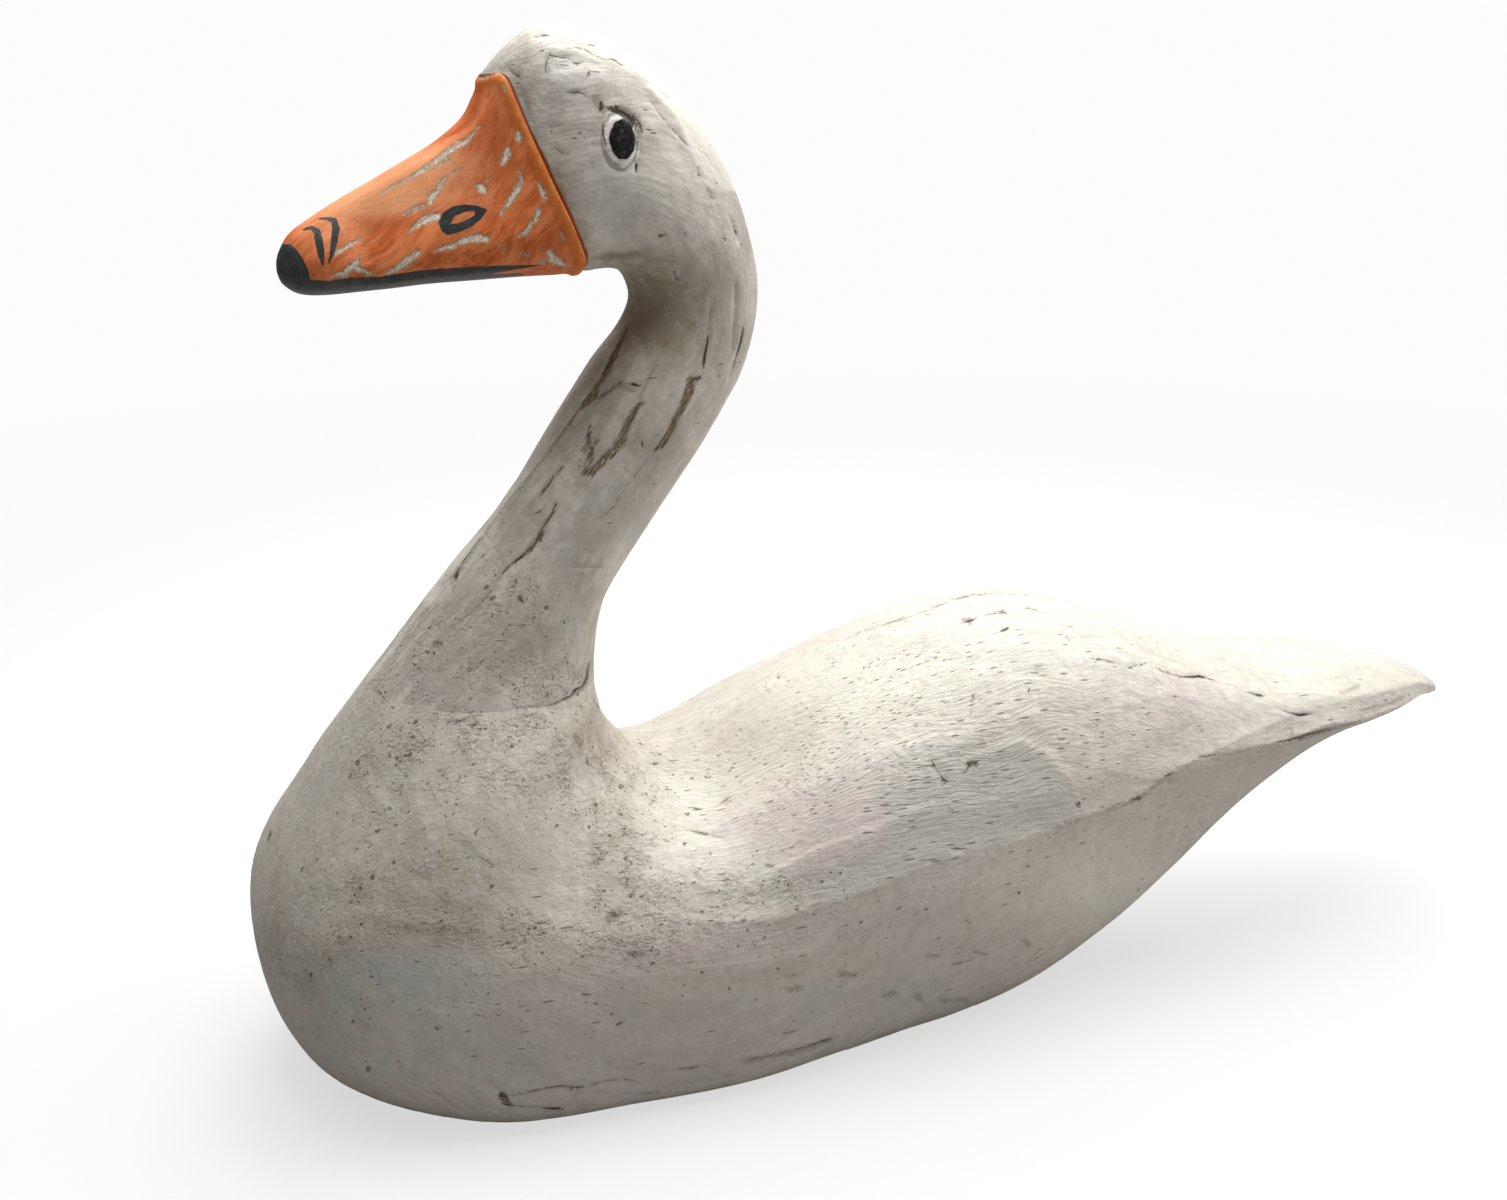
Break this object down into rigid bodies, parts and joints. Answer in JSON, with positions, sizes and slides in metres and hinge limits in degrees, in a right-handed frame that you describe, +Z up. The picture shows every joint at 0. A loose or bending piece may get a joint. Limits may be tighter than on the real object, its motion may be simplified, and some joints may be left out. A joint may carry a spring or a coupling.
{
  "type": "carved swan decoy",
  "caption": "Folk-carved wooden swan decoy with an upright curved neck, a flat base and a pointed tail, painted white with an orange bill.",
  "frame": {"origin": "on the floor under the middle of the overall length, breast to tail tip", "axes": "+Z up; the swan faces -X and its tail points to +X; +Y is its right side"},
  "size_m": [0.61, 0.2044, 0.4475],
  "materials": {
    "painted_body": "worn brushed white paint over carved wood, satin to matt, grimy in the hollows",
    "painted_head_and_neck": "worn brushed white paint, bare wood scars on the neck, flaking orange paint and black strokes on the bill"
  },
  "bodies": {
    "root": {"body": "painted_body", "head_and_neck": "painted_head_and_neck"}
  },
  "joints": []
}
